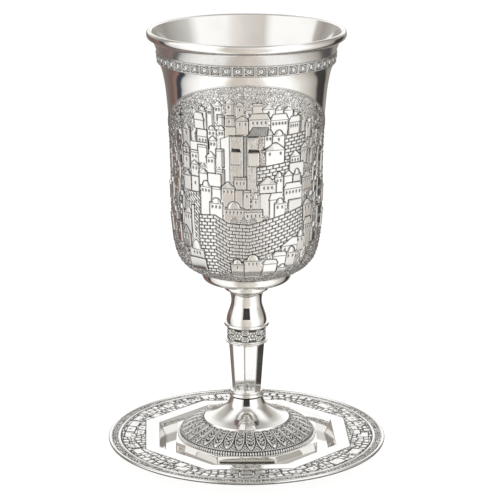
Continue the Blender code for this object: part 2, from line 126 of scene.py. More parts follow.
# Each house: its roof (d dome, p pointed, h hipped, s slanting, f flat, b bare slab, t tree), its left and right
# angle, the height of its foot, eaves and top, then how many windows it has, and the share of its front that turns
# away to the right (or, when negative, to the left), where these aren't 0.
HILL = (
    ("f", -0.5, 4.0, 172, 177.2, 178.6, 1), ("f", 4.3, 11.3, 174, 179.4, 180.5),
    ("p", 11.4, 19.1, 173, 177.8, 180.0, 1), ("d", 20.1, 25.9, 174, 177.2, 179.1),
    ("p", 26.6, 33.9, 172, 176.7, 178.4), ("f", 34.7, 37.9, 172, 175.6, 176.4),
    ("p", -7.5, -1.7, 173, 179.4, 181.2, 1), ("p", -14.0, -8.4, 172, 180.6, 182.8, 1, 0.3),
    ("p", -22.5, -17.2, 172, 179.3, 181.6, 2), ("p", -28.2, -23.0, 167, 177.5, 179.4, 2, 0.3),
    ("d", -34.6, -29.0, 166, 176.2, 178.2, 1), ("d", 37.5, 44.5, 168, 172.6, 174.4),
    ("h", -40.8, -31.3, 165, 171.7, 174.8, 0, -0.2), ("f", -20.2, -14.9, 168, 174.0, 174.8, 0, 0.4),
    ("f", -15.0, -7.6, 168, 173.6, 174.6, 1, 0.2), ("p", -7.1, 1.9, 166, 172.5, 174.6, 2),
    ("h", 1.8, 15.9, 166, 173.2, 175.6, 4), ("h", 17.1, 29.8, 163, 172.4, 175.0, 5),
    ("h", 31.0, 45.9, 164, 170.6, 173.2, 4, 0.42), ("d", 46.9, 53.8, 162, 169.2, 171.2, 1, 0.3),
    ("p", -52.0, -44.5, 158, 166.2, 168.8, 1), ("h", -42.8, -27.6, 158, 163.9, 167.0, 3, -0.4),
    ("d", -28.2, -21.8, 162, 167.6, 169.2, 2), ("p", -20.5, -15.5, 158, 167.9, 169.8, 2),
    ("b", -15.2, -7.4, 160, 168.6, 169.4), ("p", 12.8, 18.7, 158, 165.4, 168.6, 2),
    ("d", 18.7, 28.0, 157, 164.8, 167.4, 1),
)
SLOPE = (
    ("p", 43.2, 51.0, 150, 157.6, 159.6, 2, 0.3), ("p", -27.3, -21.5, 155, 162.5, 164.4, 2),
    ("b", -43.8, -28.3, 155, 160.0, 160.8), ("f", -37.0, -29.5, 151, 158.6, 159.6),
    ("f", -44.3, -37.2, 150, 155.6, 156.5, 2), ("f", -22.0, -16.4, 150, 157.6, 158.5, 0, 0.3),
    ("p", -52.5, -46.0, 150, 157.5, 159.5, 1), ("f", -52.6, -46.0, 147, 153.2, 154.4, 1),
    ("p", 13.6, 28.2, 148, 158.1, 161.4, 2),
)
LOW_TOWN = (
    ("p", 33.4, 42.2, 150, 154.0, 156.6, 3), ("p", -29.8, -22.6, 144, 154.3, 156.8, 2, 0.15),
    ("p", -44.2, -37.2, 142, 149.9, 151.6, 2), ("p", -36.5, -29.3, 139, 146.3, 148.3),
    ("f", -22.0, -16.1, 139, 147.6, 148.7, 0, 0.3), ("b", -29.0, -18.7, 138, 146.0, 146.5),
    ("p", -52.3, -45.0, 137, 143.9, 146.0), ("f", -8.7, 0.1, 138, 144.4, 145.5, 3),
    ("b", 32.7, 45.7, 144, 150.2, 150.8), ("d", 36.1, 43.1, 139, 145.2, 147.8),
    ("p", 45.1, 56.0, 137, 143.0, 145.4, 4), ("d", 21.0, 27.6, 137, 145.0, 147.3, 2),
    ("p", 28.3, 35.7, 137, 145.2, 147.3), ("p", 9.5, 21.8, 137, 142.0, 145.2, 3),
    ("b", -44.0, -37.0, 137, 143.6, 144.0, 1), ("h", 28.5, 44.4, 132, 138.8, 141.4, 5),
    ("b", 9.9, 17.4, 127, 136.8, 137.4), ("h", 17.0, 27.9, 125, 134.4, 137.4), ("d", 4.2, 9.2, 128, 135.4, 138.2, 1),
    ("b", -8.1, -2.5, 130, 138.8, 139.3), ("f", -2.2, 2.9, 130, 138.2, 139.3, 1),
    ("f", -25.8, -18.6, 134, 139.4, 140.2), ("p", -18.3, -8.6, 131, 140.2, 142.9, 3),
    ("d", -35.5, -26.3, 124, 140.0, 142.8, 3), ("b", 32.5, 44.6, 125, 132.6, 133.2),
    ("d", 20.9, 29.4, 125, 132.3, 134.8, 2), ("d", -27.5, -17.4, 124, 132.6, 135.0, 3),
    ("d", -16.3, -1.9, 121, 130.4, 133.7, 5), ("f", -1.5, 11.6, 121, 128.8, 129.9, 4),
    ("p", 46.7, 56.1, 122, 129.7, 132.0, 2),
)
FOREGROUND = (
    ("p", -52.8, -43.8, 116, 125.7, 128.5, 3), ("b", -44.4, -41.8, 112, 129.0, 130.0),
    ("p", -55.5, -46.7, 109, 115.6, 119.2, 2), ("h", 47.8, 56.0, 108, 120.0, 123.3, 3),
    ("d", 40.2, 48.4, 108, 114.9, 118.0, 2), ("s", 27.1, 41.1, 106, 111.4, 114.9, 2),
    ("d", -48.0, -33.9, 103, 108.9, 113.4, 3), ("b", -49.0, -33.1, 98.5, 103.4, 104.4),
    ("d", 31.4, 40.7, 101, 107.8, 110.6, 2), ("h", 20.5, 31.6, 101.5, 107.0, 108.8),
    ("t", 46.7, 54.0, 103, 108.0, 110.0), ("d", 25.4, 33.6, 98, 100.8, 102.3), ("h", 13.2, 24.4, 98, 103.3, 105.3),
    ("d", -1.9, 11.7, 96.5, 105.3, 108.2, 3), ("d", -12.1, -2.0, 96.5, 103.5, 105.8, 1),
)

# Walls of brick, folded like a screen: at each fold its angle, the height of the line that its courses follow,
# the height of its top and foot, and how far it stands out
CITY_WALL = ((-37.0, 126.0, 126.0, 104.0, 0.55), (-34.5, 126.1, 126.1, 97.6, 0.60), (-23.4, 126.8, 126.8, 96.8, 0.80),
             (-13.1, 123.2, 123.2, 98.5, 0.50), (1.8, 122.7, 122.7, 100.0, 0.75), (13.0, 124.4, 124.4, 106.0, 0.75),
             (28.5, 126.7, 126.7, 111.2, 0.75), (45.5, 129.2, 129.2, 118.4, 0.60))
WING = ((-47.4, 143.5, 139.9, 131.0, 0.60), (-42.0, 140.6, 139.8, 112.0, 0.75), (-35.4, 137.1, 137.0, 107.0, 0.60))
UPPER_WALL = ((7.8, 150.0, 150.0, 141.6, 0.7), (33.0, 151.8, 151.8, 147.0, 0.8))
EAST_WALL = ((28.5, 164.4, 164.4, 150.0, 0.75), (46.8, 165.2, 164.8, 150.0, 0.6))
COURSE = 1.65
BRICK = 3.1

# The pair of towers in the middle: left and right angle, foot, top at the left and right, and how far they stand out
TOWERS = ((-18.3, -11.6, 138.0, 163.4, 165.2, 0.70), (-11.6, -2.3, 138.0, 165.4, 165.4, 1.15),
          (0.6, 8.0, 138.0, 164.6, 164.6, 1.15))
HOODS = ((-10.6, -4.1, 151.8, 157.6), (1.5, 9.0, 151.0, 157.2))  # left and right angle, foot and top
HOOD_RISE = 1.38  # how far they stand out
ARCHES = (-9.0, -1.9, 5.0)  # the angle of each arch's middle
ARCH_SPRING = 124.4  # where their round tops begin
SEAM = -2.0  # where the two halves of the mould met

PLATE_ACROSS = 0.98  # millimetres for each degree round the plate's relief
# Rings of small houses on the plate, and larger ones here and there over them: radius of the roofs, depth, width
# of a house, a number to start from, and the share of the places that are taken
PLATE_RINGS = ((61.7, 4.0, 3.7, 500), (58.0, 3.8, 3.3, 700), (54.6, 3.6, 3.5, 900), (51.8, 3.0, 3.1, 1200),
               (60.4, 5.2, 7.8, 1500, 0.45), (55.6, 4.6, 6.8, 1700, 0.40))


# -------- curves and grids

def run_length(points):
    """How far each point lies along the straight lines through all of them."""
    return np.r_[0.0, np.cumsum(np.hypot(*np.diff(points, axis=0).T))]


def smooth_curve(points, spacing):
    """A curve through points at even steps of about the spacing.

    Each span is the cubic that meets both its ends with the slope between the points either side.
    """
    points = np.asarray(points, float)
    chord = run_length(points)
    slope = np.gradient(points, chord, axis=0)
    at = np.linspace(0.0, chord[-1], max(3, int(chord[-1] / spacing) + 1))
    span = np.clip(np.searchsorted(chord, at, side="right") - 1, 0, len(chord) - 2)
    length = (chord[span + 1] - chord[span])[:, None]
    u = (at - chord[span])[:, None] / length
    start, end = points[span], points[span + 1]
    return ((2 * u**3 - 3 * u**2 + 1) * start + (u**3 - 2 * u**2 + u) * length * slope[span]
            + (3 * u**2 - 2 * u**3) * end + (u**3 - u**2) * length * slope[span + 1])


def straight(start, end, spacing):
    """Points on a straight line at even steps of about the spacing."""
    return np.linspace(start, end, max(2, int(math.dist(start, end) / spacing) + 1))


def oval(centre, out, up, first, last, count):
    """An arc of an oval: centre plus (out cos t, up sin t), with t in degrees from first to last."""
    t = np.radians(np.linspace(first, last, count))
    return np.stack([centre[0] + out * np.cos(t), centre[1] + up * np.sin(t)], -1)


def soft_line(corners, reach, spacing):
    """Straight lines through corners; the parabola that leaves its two lines reach away replaces an inner corner."""
    corners = np.asarray(corners, float)
    u = np.linspace(0.0, 1.0, 5)[:, None]
    pieces = [corners[:1]]
    for before, corner, after in zip(corners, corners[1:], corners[2:]):
        start, end = (corner + reach * (far - corner) / np.linalg.norm(far - corner) for far in (before, after))
        bend = (1 - u) ** 2 * start + 2 * u * (1 - u) * corner + u**2 * end
        pieces += [straight(pieces[-1][-1], bend[0], spacing)[1:-1], bend]
    return np.vstack([*pieces, straight(pieces[-1][-1], corners[-1], spacing)[1:]])


def pick(points, count):
    """As many points as wanted, evenly spread over a finer list."""
    return points[np.linspace(0, len(points) - 1, count).round().astype(int)]


def outward(profile):
    """Unit vectors square to a profile of radius and height, to the left of its way down the outside."""
    way = np.gradient(profile, axis=0)
    way /= np.hypot(way[:, 0], way[:, 1])[:, None]
    return np.stack([-way[:, 1], way[:, 0]], -1)


def round_axis(radius, degrees, height):
    """Points (r sin a, -r cos a, z), with the angles along the rows of a grid."""
    angle = np.radians(degrees)[None, :]
    return np.stack(np.broadcast_arrays(radius * np.sin(angle), -radius * np.cos(angle), height), -1)


def turned(profile, degrees):
    """A profile of radius and height carried round the axis."""
    return round_axis(profile[:, :1], degrees, profile[:, 1:])


def octagon(flat, degrees, turn, crisp=300.0):
    """Radius of an eight-sided outline with its corners just rounded.

    flat / (sum over the sides of cos^crisp(angle to the side's middle))^(1/crisp).
    """
    away = np.radians(degrees - turn)[None, :]
    total = sum(np.maximum(np.cos(away - math.pi / 4 * side), 0.0) ** crisp for side in range(8))
    return flat / total ** (1 / crisp)


def columns(count, turn=0.0):
    """Angles of the columns of a grid that closes on itself."""
    return turn + np.arange(count) * 360.0 / count


def place_in(degrees, count, shift=0.0):
    """Where each angle lies in its share of a turn, from -0.5 to 0.5, when a pattern repeats count times."""
    return (np.mod(degrees / 360.0 * count + shift, 1.0) - 0.5)[None, :]


# -------- meshes

def fill_mesh(name, points, faces):
    """A smooth mesh from points in millimetres and arrays of faces, one array for each number of corners."""
    mesh = bpy.data.meshes.new(name)
    mesh.vertices.add(len(points))
    mesh.vertices.foreach_set("co", (points * MM).astype(np.float32).ravel())
    sizes = np.concatenate([np.full(len(group), group.shape[1]) for group in faces])
    mesh.loops.add(int(sizes.sum()))
    mesh.loops.foreach_set("vertex_index", np.concatenate([group.ravel() for group in faces]).astype(np.int32))
    mesh.polygons.add(len(sizes))
    mesh.polygons.foreach_set("loop_start", np.r_[0, np.cumsum(sizes)[:-1]].astype(np.int32))
    mesh.update(calc_edges=True)
    mesh.validate()
    mesh.shade_smooth()
    return mesh


def set_field(mesh, label, values):
    """Store one number for each vertex; vertices past the end of values get 0."""
    full = np.zeros(len(mesh.vertices), np.float32)
    full[: values.size] = values.ravel()
    mesh.attributes.new(label, "FLOAT", "POINT").data.foreach_set("value", full)


def add_object(mesh, material):
    """An object of the mesh's own name, in the scene."""
    thing = bpy.data.objects.new(mesh.name, mesh)
    bpy.context.scene.collection.objects.link(thing)
    mesh.materials.append(material)
    return thing


def add_piece(mesh, material, node):
    """Put a finished mesh into the scene in place of a casting of the frame."""
    piece = add_object(mesh, material)
    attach(piece, "root")
    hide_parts(node)


def quads(grid, following):
    """Four corners of each cell between the rows of a grid and of the grid one column further."""
    return np.stack([grid[:-1], grid[1:], following[1:], following[:-1]], -1).reshape(-1, 4)


def closed_shell(name, points, sharp=35.0):
    """A closed surface: the columns go all the way round, and a centre point closes the first and last rows."""
    rows, count = points.shape[:2]
    grid = np.arange(rows * count).reshape(rows, count)
    following = np.roll(grid, -1, axis=1)
    first, last = rows * count, rows * count + 1
    caps = np.vstack([
        np.stack([np.full(count, first), grid[0], following[0]], -1),
        np.stack([np.full(count, last), following[-1], grid[-1]], -1),
    ])
    centres = np.stack([points[0].mean(0), points[-1].mean(0)])
    mesh = fill_mesh(name, np.vstack([points.reshape(-1, 3), centres]), [quads(grid, following), caps])
    mesh.set_sharp_from_angle(angle=math.radians(sharp))
    return mesh


def relief_slab(name, front, back, ring):
    """A closed slab: a fine front, a plain back with the same columns and fewer rows, and edges that join them.

    A ring closes on itself; otherwise one flat face closes each end.
    """
    (rows, count), behind = front.shape[:2], back.shape[0]
    face = np.arange(rows * count).reshape(rows, count)
    rear = rows * count + np.arange(behind * count).reshape(behind, count)
    if ring:
        face, rear = np.c_[face, face[:, 0]], np.c_[rear, rear[:, 0]]
    faces = [np.vstack([
        quads(face[:, :-1], face[:, 1:]),
        quads(rear[::-1, :-1], rear[::-1, 1:]),
        np.stack([face[0, :-1], face[0, 1:], rear[0, 1:], rear[0, :-1]], -1),
        np.stack([face[-1, 1:], face[-1, :-1], rear[-1, :-1], rear[-1, 1:]], -1),
    ])]
    if not ring:
        faces += [np.r_[face[::-1, 0], rear[:, 0]][None], np.r_[face[:, -1], rear[::-1, -1]][None]]
    return fill_mesh(name, np.vstack([front.reshape(-1, 3), back.reshape(-1, 3)]), faces)


def slab_on(name, profile, degrees, relief, ring=True, rear_rows=14, depth=0.55):
    """A slab whose front is a turned profile pushed out square to itself by the relief's height."""
    square = outward(profile)
    front = round_axis(profile[:, :1] + square[:, :1] * relief.height, degrees,
                       profile[:, 1:] + square[:, 1:] * relief.height)
    mesh = relief_slab(name, front, turned(pick(profile - depth * square, rear_rows), degrees), ring)
    set_field(mesh, "tone", relief.tone)
    set_field(mesh, "grain", relief.grain)
    return mesh


# -------- relief fields

EDGE = 0.22  # width over which one surface gives way to the next


def unit(value):
    """A value kept between 0 and 1."""
    return np.clip(value, 0.0, 1.0)


def swell(out):
    """The height of a half-round one unit out: sqrt(1 - out^2), and 0 past it."""
    return np.sqrt(unit(1.0 - out**2))


def meet(*distances):
    """Distance to what several outlines share, the largest of theirs; a distance is negative inside its outline."""
    return functools.reduce(np.maximum, distances)


def box_distance(x, y, half_x, half_y):
    """Distance to a box round the origin: the larger of |x| - half_x and |y| - half_y."""
    return meet(np.abs(x) - half_x, np.abs(y) - half_y)


def outline_distance(x, y, corners):
    """Distance from each point to a closed outline.

    The nearest of its sides gives the distance, and the number of sides crossed on the way right gives the sign.
    """
    nearest = np.full(np.broadcast_shapes(x.shape, y.shape), 1e9)
    inside = np.zeros(nearest.shape, bool)
    for (x0, y0), (x1, y1) in zip(corners, corners[1:] + corners[:1]):
        dx, dy = x1 - x0, y1 - y0
        t = unit(((x - x0) * dx + (y - y0) * dy) / (dx * dx + dy * dy))
        nearest = np.minimum(nearest, (x - x0 - t * dx) ** 2 + (y - y0 - t * dy) ** 2)
        if dy:
            inside ^= ((y0 > y) != (y1 > y)) & (x < x0 + dx * (y - y0) / dy)
    return np.where(inside, -1.0, 1.0) * np.sqrt(nearest)


def scatter(row, column):
    """A repeatable number from 0 to 1 for a row and a column: the fraction of 43758.5 sin(12.9 row + 78.2 column)."""
    return np.modf(np.abs(np.sin(row * 12.9898 + column * 78.233) * 43758.5453))[0]


def side_of(key):
    """Right or left, at random but repeatable."""
    return 1.0 if scatter(key, 9) > 0.35 else -1.0


def soften(field, reach, ring=False):
    """Mean of a field over a square of the given reach, one direction after the other."""
    for axis in (0, 1):
        pad = [(0, 0), (0, 0)]
        pad[axis] = (reach, reach)
        wide = np.pad(field, pad, mode="wrap" if ring and axis == 1 else "edge")
        size = field.shape[axis]
        field = sum(np.take(wide, range(step, step + size), axis=axis) for step in range(2 * reach + 1))
        field = field / (2 * reach + 1)
    return field


def span_of(values, low, high):
    """The slice of the values that lie from low to high, empty when there are none."""
    found = np.flatnonzero((values >= low) & (values <= high))
    return slice(found[0], found[-1] + 1) if len(found) else slice(0, 0)


class Relief:
    """Fields over a sheet, x across and y up in millimetres: how far it stands out, how dark, and how coarse."""

    def __init__(self, x, y, bend, seed):
        self.x, self.y, self.bend = x[None, :], y[:, None], bend
        shape = (len(y), len(x))
        self.height, self.tone, self.grain = np.zeros(shape), np.zeros(shape), np.zeros(shape)
        rough = np.random.default_rng(seed).standard_normal(shape)
        self.noise = 1.5 * soften(rough, 1) + 0.6 * rough

    def part(self, left, right, foot, top):
        """The points in a box, as a relief that shares its fields with this one."""
        rows, across = span_of(self.y[:, 0], foot, top), span_of(self.x[0], left, right)
        piece = copy.copy(self)
        piece.x, piece.y = self.x[:, across], self.y[rows]
        for label in ("height", "tone", "grain", "noise"):
            setattr(piece, label, getattr(self, label)[rows, across])
        return piece

    def flat(self, x):
        """How far a flat face stands out over the bent sheet, x away from its middle: x^2 / (2 bend)."""
        return x**2 / (2.0 * self.bend)

    def blend(self, share, height=None, tone=None, grain=None):
        """Move the fields towards new values, by a share from 0 to 1."""
        for field, value in ((self.height, height), (self.tone, tone), (self.grain, grain)):
            if value is not None:
                field += share * (value - field)

    def press(self, distance, height=None, tone=None, grain=None, share=1.0):
        """Give the fields new values where a distance is below zero, with a ramp as wide as EDGE round it."""
        self.blend(share * unit(0.5 - distance / EDGE), height, tone, grain)

    def stipple(self, tone, depth):
        """A punched ground: random dents, darker where they are deeper."""
        self.blend(1.0, self.height + depth * self.noise, unit(tone - 0.68 * self.noise), 1.0)

    def darken_hollows(self, reach, depth, strength, ring=False):
        """Darken each point by how far it lies below the mean of what surrounds it."""
        below = soften(self.height, reach, ring) - self.height
        self.tone = np.maximum(self.tone, unit((below - 0.02) / depth) * strength)


# -------- what the town is made of

def house_outline(kind, half, foot, eaves, top):
    """Corners of a house seen from the front, counted against the clock, with its middle at x 0."""
    wide = half + 0.35
    roof = [(half, top), (-half, top)]
    if kind in "ph":
        ridge = half * (0.1 if kind == "p" else 0.75)
        roof = [(half, eaves), (wide, eaves), (ridge, top), (-ridge, top), (-wide, eaves), (-half, eaves)]
    elif kind == "s":
        roof = [(half, eaves), (half, top), (half * 0.4, top), (-wide, eaves), (-half, eaves)]
    elif kind == "d":
        spring = eaves + 0.3
        dome = oval((0.0, spring), half * 0.62, top - spring, 0.0, 180.0, 9)
        roof = [(half, eaves), (half, spring), *dome, (-half, spring)]
    return [(-half, foot), (half, foot), *roof]


def add_windows(spot, x, face, count, middle, gap):
    """A row of upright oval windows, sunk and dark, at even gaps round x 0, with painted shade darker towards their
    top.
    """
    place = np.clip(np.round(x / gap + (count - 1) / 2.0), 0, count - 1) - (count - 1) / 2.0
    up = spot.y - middle
    out = np.hypot((x - place * gap) / 0.44, up / 0.80) - 1.0
    # the tone, darker towards the top of each window, is painted shade in the sunk opening
    spot.press(out * 0.5, face - 0.25, 0.72 + 0.25 * np.clip(up, -0.6, 0.8), 0.2)
    spot.press(np.abs(out + 0.1) * 0.5 - 0.04, None, 0.95, share=0.5)


def add_tree(relief, middle, half, foot, top):
    """A cypress: a pointed swelling with a rough skin, with painted light down its left side, painted shade down its
    right and a painted shadow line to its right.
    """
    spot = relief.part(middle - half - 0.8, middle + half + 0.8, foot - 0.8, top + 0.8)
    u, y = spot.x - middle, spot.y
    rise = unit((y - foot) / (top - foot))
    edge = half * np.sqrt(np.sin(math.pi * unit(0.12 + 0.88 * rise)) * (1.15 - 0.5 * rise))
    inside = meet(np.abs(u) - edge, foot - y, y - top)
    # painted shadow: a dark sunk border down the right side only
    spot.press(inside - 0.3, 0.05, 0.95, 0.4, share=u > 0.0)
    # painted light and shade: the tone runs from bright on the left to dark on the right
    shade = np.clip(0.28 + 0.35 * u / half - 0.35 * spot.noise, 0.0, 0.95)
    spot.press(inside, 0.25 + 0.50 * swell(u / np.maximum(edge, 0.2)) + 0.10 * spot.noise, shade, 0.8)


def add_house(relief, key, kind, left, right, foot, eaves, top, windows=0, turned_by=0.0, rise=HOUSE_RISE):
    """One house: a flat face with its own small tilt, a dark gap round it, a roof, and a row of windows."""
    middle, half = (left + right) / 2.0, (right - left) / 2.0 - 0.10
    if kind == "t":
        add_tree(relief, middle, half, foot, top)
        return
    spot = relief.part(left - 1.3, right + 1.3, foot - 0.8, top + 0.8)
    x, y = spot.x - middle, spot.y
    inside = outline_distance(x, y, house_outline(kind, half, foot, eaves, top))
    yaw, pitch = (scatter(key, 3) - 0.5) * 0.07, (scatter(key, 5) - 0.5) * 0.05
    face = rise - HOUSE_LEAN * (top - y) + spot.flat(x) + yaw * x + pitch * (y - top + 3.0)
    spot.press(inside - 0.50, np.minimum(spot.height, face) - 0.20, 1.0, 0.2)
    if turned_by:
        to_corner = half * (1.0 - 2.0 * abs(turned_by)) - x * math.copysign(1.0, turned_by)
        face = face - 0.42 * np.maximum(-to_corner, 0.0)
    spot.press(inside, face, 0.02, 0.12)
    if turned_by:
        # painted shade on the part of the front that turns away, and a dark line along its corner
        spot.press(meet(to_corner, inside), None, 0.55, 0.3, share=0.7)
        spot.press(meet(np.abs(to_corner) - 0.06, inside), None, 0.6, share=0.6)
    roofed = kind in "phsd"
    if roofed:
        roof, slope = meet(eaves - y, inside), (y - eaves) / (top - eaves)
        if kind == "d":
            spot.press(roof, face - 0.10 + 0.50 * swell(np.hypot(x / (0.64 * half), slope)), 0.02)
        else:
            spot.press(roof, face + 0.22 - 0.20 * (y - eaves) + 0.03 * x, 0.04)
        if kind == "p":
            # painted shade on one side of a pointed roof
            spot.press(meet(half * (0.25 * slope + 0.15) - x * side_of(key), roof), None, 0.6, share=0.35)
    if kind != "b":
        line = eaves if roofed else top - 0.75
        spot.press(meet(np.abs(y - line + 0.1) - 0.16, inside + 0.05), face - 0.18, 0.92)
    if windows:
        room = 2.0 * half * (1.0 - abs(turned_by)) - 0.5
        gap = min(room / windows, 1.85 + 0.9 * (windows < 3)) if room < 8.0 or windows > 2 else 0.62 * room
        add_windows(spot, x + turned_by * half * 0.9, face, windows, eaves - (2.6 if kind == "b" else 1.75), gap)


def add_town(relief, houses, first):
    """Houses from the far to the near, each drawn over those behind it."""
    for number, (kind, left, right, *rest) in enumerate(houses, first):
        add_house(relief, number, kind, left * ACROSS, right * ACROSS, *rest)


def add_outskirts(relief):
    """Rows of houses down both sides, past the last of the town, with a row of cypresses between each two."""
    for row in range(10):
        shift = OUTSKIRTS_SHIFT * (row // 2 % 2)
        for place in (-3, -2, -1, 1, 2, 3):
            key = 40 * row + place
            away = 45.0 + 11.0 * abs(place) + shift - 5.0 * (row % 2 == 0 and abs(place) > 1)
            top = 171.0 - OUTSKIRTS_STEP * row - 0.0018 * away**2
            if row % 2:
                away += 5.0 * (scatter(key, 1) - 0.5)
                top += 3.0 * (scatter(key, 2) - 0.5)
            if top - 9.0 < GROUND_HEIGHT + GROUND_RISE * away * away:
                continue
            middle = math.copysign(away, place) * ACROSS
            if row % 2 or abs(place) == 1:
                half = 1.9 + 0.9 * scatter(key, 4)
                add_house(relief, key, "dpdbdfp"[int(7 * scatter(key, 6))], middle - half, middle + half, top - 9.5,
                          top - 2.4, top, 1 + int(2 * scatter(key, 8)), 0.2 * side_of(key))
            else:
                add_tree(relief, middle, 3.0 * ACROSS, top - 8.0, top)


def add_brick_wall(relief, folds):
    """A folded wall: courses follow a line, every other course is shifted by half a brick, joints are dark."""
    fold_x, lines, tops, feet, outs = np.array(folds).T
    fold_x = fold_x * ACROSS
    spot = relief.part(fold_x[0] - 0.5, fold_x[-1] + 0.5, min(feet) - 0.5, max(tops) + 0.5)
    x, y = spot.x, spot.y
    line, top, foot, out = (np.interp(x, fold_x, values) for values in (lines, tops, feet, outs))
    inside = meet(y - top, foot - y, fold_x[0] - x, x - fold_x[-1])
    course = (line - y) / COURSE
    row = np.floor(course)
    along = x / BRICK + 0.5 * np.mod(row, 2) + 0.22 * scatter(row, 1.0)
    brick = np.floor(along)
    to_course = np.abs(course - np.round(course)) * COURSE
    to_end = np.abs(along - np.round(along)) * BRICK
    spot.press(inside - 0.4, out - 0.30, 0.95, 0.2)
    joint = np.minimum(to_course, to_end) - 0.22
    tilt = (scatter(row, brick + 7.0) - 0.5) * (to_end - 0.6)
    face = out - 0.12 + 0.16 * np.sqrt(unit(joint / 0.5)) + 0.07 * scatter(row, brick) + 0.10 * tilt
    spot.press(inside, face, 0.02, 0.25)
    spot.press(meet(joint, inside), out - 0.32, 1.0)


def add_towers(relief, hooded):
    """The pair of square towers and the light side of the left one, with a hood under a dark slot on each."""
    spot = relief.part(-19.3 * ACROSS, 10.5 * ACROSS, 136.5, 167.5)
    x, y, noise = spot.x, spot.y, spot.noise
    spot.press(box_distance(x + 0.6, y - 150.0, 1.6, 15.0), 0.55 + 0.03 * noise, 0.45, 0.8)
    for number, (left, right, foot, top_left, top_right, rise) in enumerate(TOWERS):
        u, half = x - (left + right) / 2.0 * ACROSS, (right - left) / 2.0 * ACROSS
        top = top_left + (top_right - top_left) * (u / half + 1.0) / 2.0
        inside = meet(np.abs(u) - half, y - top, foot - y)
        face = rise - 0.010 * (top - y) + spot.flat(u)
        if number == 0:
            face = face + 0.10 * u
        spot.press(inside - 0.36, np.minimum(spot.height, face) - 0.15, 0.85, 0.2)
        spot.press(inside, face, 0.05, 0.25)
        if number:
            spot.press(inside + 0.3, face + 0.02 * noise, np.clip(0.13 - 0.16 * noise, 0.0, 0.6), 0.5)
            spot.press(box_distance(u, y - top + 0.2, half, 0.24 if number == 1 else 0.10), face - 0.3, 0.9)
            spot.press(np.abs(u - half + 0.35) - 0.10, face + 0.12, 0.0, 0.0, share=inside < 0)
    for left, right, foot, top in HOODS if hooded else ():
        u, half = x - (left + right) / 2.0 * ACROSS, (right - left) / 2.0 * ACROSS
        middle = (foot + top) / 2.0
        inside = box_distance(u, y - middle, half, (top - foot) / 2.0)
        face = HOOD_RISE - 0.02 * (y - middle) + spot.flat(u)
        spot.press(inside - 0.30, face - 0.45, 0.75, 0.2)
        spot.press(inside, face, 0.0, 0.0)
        slot = [(-half, top + 0.1), (half, top + 0.1), (half * 0.9, top + 1.45), (-half * 0.95, top + 1.75)]
        spot.press(outline_distance(u, y, slot), face - 0.95, 1.0)
        corbels = box_distance(np.mod(u + 0.5, 1.0) - 0.5, y - foot + 0.1, 0.26, 0.42)
        spot.press(corbels, face - 0.4, 0.8, share=np.abs(u) < half)


def add_arches(relief):
    """Round arches of rough stones in the low buildings before the wall's corner."""
    for middle in ARCHES:
        spot = relief.part(middle * ACROSS - 2.4, middle * ACROSS + 2.4, 122.0, 128.0)
        x, y = spot.x - middle * ACROSS, spot.y - ARCH_SPRING
        out = np.hypot(x, np.maximum(y, 0.0))
        stones = 0.5 + 0.5 * np.sin(9.0 * np.arctan2(y, x))
        spot.press(out - 1.9, 1.05 + 0.1 * stones, 0.85 - 0.6 * stones, share=spot.y > 122.6)
        spot.press(out - 1.05, 0.75, 0.35, 0.6, share=spot.y > 122.6)


def add_lean_to(relief):
    """The dark tiled roof behind the right-hand tower, and a sunk slope further down."""
    spot = relief.part(0.0, 16.5 * ACROSS, 164.5, 170.5)
    inside = outline_distance(spot.x, spot.y, [(0.6, 165.2), (9.0, 165.2), (9.9, 168.8), (2.9, 169.2)])
    tiles = 0.5 + 0.5 * np.sin(spot.x * 8.0)
    spot.press(inside - 0.4, 0.4, 1.0)
    spot.press(inside, 1.0 - 0.16 * (spot.y - 165.4) + 0.05 * tiles, 0.66 - 0.15 * tiles, 0.5)
    spot = relief.part(5.0, 13.5, 157.0, 162.5)
    spot.press(outline_distance(spot.x, spot.y, [(5.9, 158.0), (9.2, 158.0), (12.9, 161.5)]), 0.7, 0.9, 0.4)


def town_relief(degrees, heights, front):
    """The whole arched field: stippled sky and ground, houses, towers and walls, and the raised arch line."""
    relief = Relief(degrees * ACROSS, heights, BOWL_RADIUS, 11 if front else 12)
    x, y = relief.x, relief.y
    relief.height += 0.10
    # the punched sky is given a darker tone towards the upper left
    darker_upper_left = unit(-x / ACROSS / 20.0 - 1.2) * unit(y / 12.0 - 13.4)
    relief.stipple(0.56 + 0.16 * darker_upper_left, 0.17)
    add_outskirts(relief)
    add_town(relief, HILL, 0)
    add_brick_wall(relief, EAST_WALL)
    if front:
        add_lean_to(relief)
    add_towers(relief, front)
    add_town(relief, SLOPE, 60)
    add_brick_wall(relief, UPPER_WALL)
    add_brick_wall(relief, WING)
    add_town(relief, LOW_TOWN, 90)
    add_arches(relief)
    add_brick_wall(relief, CITY_WALL)
    add_town(relief, FOREGROUND, 160)
    relief.darken_hollows(3, 0.22, 0.9)
    relief.press(np.abs(x - SEAM * ACROSS) - 0.12, relief.height + 0.06, 0.45, share=0.5)
    slope = 2.0 * ARCH_FALL * x / ACROSS**2
    above = (y - ARCH_TOP + ARCH_FALL * (x / ACROSS) ** 2) / np.sqrt(1.0 + slope**2)
    across = above + RIM_WIDTH / 2
    line = unit(1.0 - (across / (RIM_WIDTH / 2)) ** 2)
    relief.press(np.abs(across) - RIM_WIDTH / 2 - 0.2, 0.05 + 0.40 * line, 0.62 - 0.5 * line, 0.2)
    relief.press(-above - 0.12, -0.45, 0.3, 0.0)
    relief.press(y - heights.min() - 0.15, -0.5, 0.6, 0.2)
    return relief


# -------- finishes

